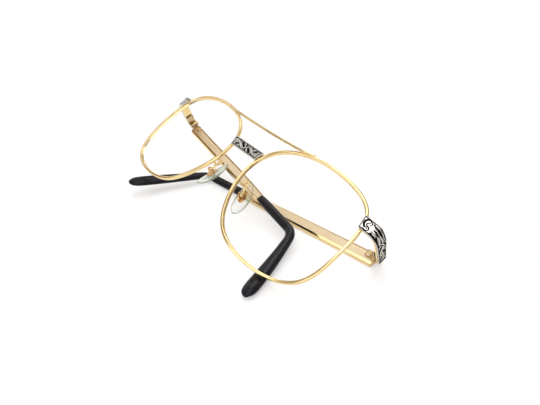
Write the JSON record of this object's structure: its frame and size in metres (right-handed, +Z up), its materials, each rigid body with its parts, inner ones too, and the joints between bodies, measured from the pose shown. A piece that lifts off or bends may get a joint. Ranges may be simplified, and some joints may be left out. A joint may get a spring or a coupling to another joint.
{
  "type": "aviator eyeglasses",
  "caption": "Folded metal aviator eyeglasses: wire rims with clear lenses, brow bar and bridge, engraved wrap-round end pieces, hinged temples with acetate tips and rocking nose pads.",
  "frame": {"origin": "middle of the footprint, on the table that the folded glasses lie on", "axes": "+X along the brow bar towards the wearer's left, +Y towards the brow, +Z up from the table"},
  "size_m": [0.1466, 0.0534, 0.0409],
  "materials": {
    "gold": "polished gold plate",
    "satin_gold": "gold plate, satin inner faces with polished bevels",
    "silver": "engraved silver with blackened recesses",
    "acetate": "polished black acetate",
    "silicone": "clear silicone",
    "lens": "clear uncoated lens",
    "screw": "turned, gold plated"
  },
  "bodies": {
    "front": {"brow_bar": "gold", "bridge_bar": "gold", "bridge_plaque": "silver", "left_rim": "gold", "right_rim": "gold", "left_lens": "lens", "right_lens": "lens", "left_endpiece": "gold", "right_endpiece": "gold", "left_endpiece_plaque": "silver", "right_endpiece_plaque": "silver", "left_rim_lock_upper": "gold", "right_rim_lock_upper": "gold", "left_rim_lock_lower": "gold", "right_rim_lock_lower": "gold", "left_rim_lock_screw": "screw", "right_rim_lock_screw": "screw", "left_pad_arm": "gold", "right_pad_arm": "gold", "left_front_hinge": "gold", "left_hinge_screw": "screw", "right_front_hinge": "gold", "right_hinge_screw": "screw"},
    "left_temple_arm": {"left_temple": "satin_gold", "left_temple_tip": "acetate", "left_temple_hinge": "gold"},
    "right_temple_arm": {"right_temple": "satin_gold", "right_temple_tip": "acetate", "right_temple_hinge": "gold"},
    "left_pad_rocker": {"left_nose_pad": "silicone", "left_pad_insert": "gold", "left_pad_pin": "screw"},
    "right_pad_rocker": {"right_nose_pad": "silicone", "right_pad_insert": "gold", "right_pad_pin": "screw"}
  },
  "joints": [
    {"name": "left_temple_hinge_turn", "type": "hinge", "parent": "front", "child": "left_temple_arm", "pos_m": [0.06808, 0.02288, 0.0045], "axis": [-0.0365, -0.9394, -0.3408], "range_deg": [0, 91]},
    {"name": "right_temple_hinge_turn", "type": "hinge", "parent": "front", "child": "right_temple_arm", "pos_m": [-0.07007, 0.02288, 0.01931], "axis": [0.0365, 0.9394, 0.3408], "range_deg": [0, 64.2]},
    {"name": "left_pad_rock", "type": "hinge", "parent": "front", "child": "left_pad_rocker", "pos_m": [0.01238, -0.00021, 0.01699], "axis": [0.8967, 0.4077, -0.1726], "range_deg": [-12, 12]},
    {"name": "right_pad_rock", "type": "hinge", "parent": "front", "child": "right_pad_rocker", "pos_m": [-0.01299, -0.00021, 0.01971], "axis": [0.9129, -0.4077, -0.0213], "range_deg": [-12, 12]}
  ],
  "couplings": [
    {"joint": "right_temple_hinge_turn", "follows": "left_temple_hinge_turn", "ratio": 0.7}
  ]
}
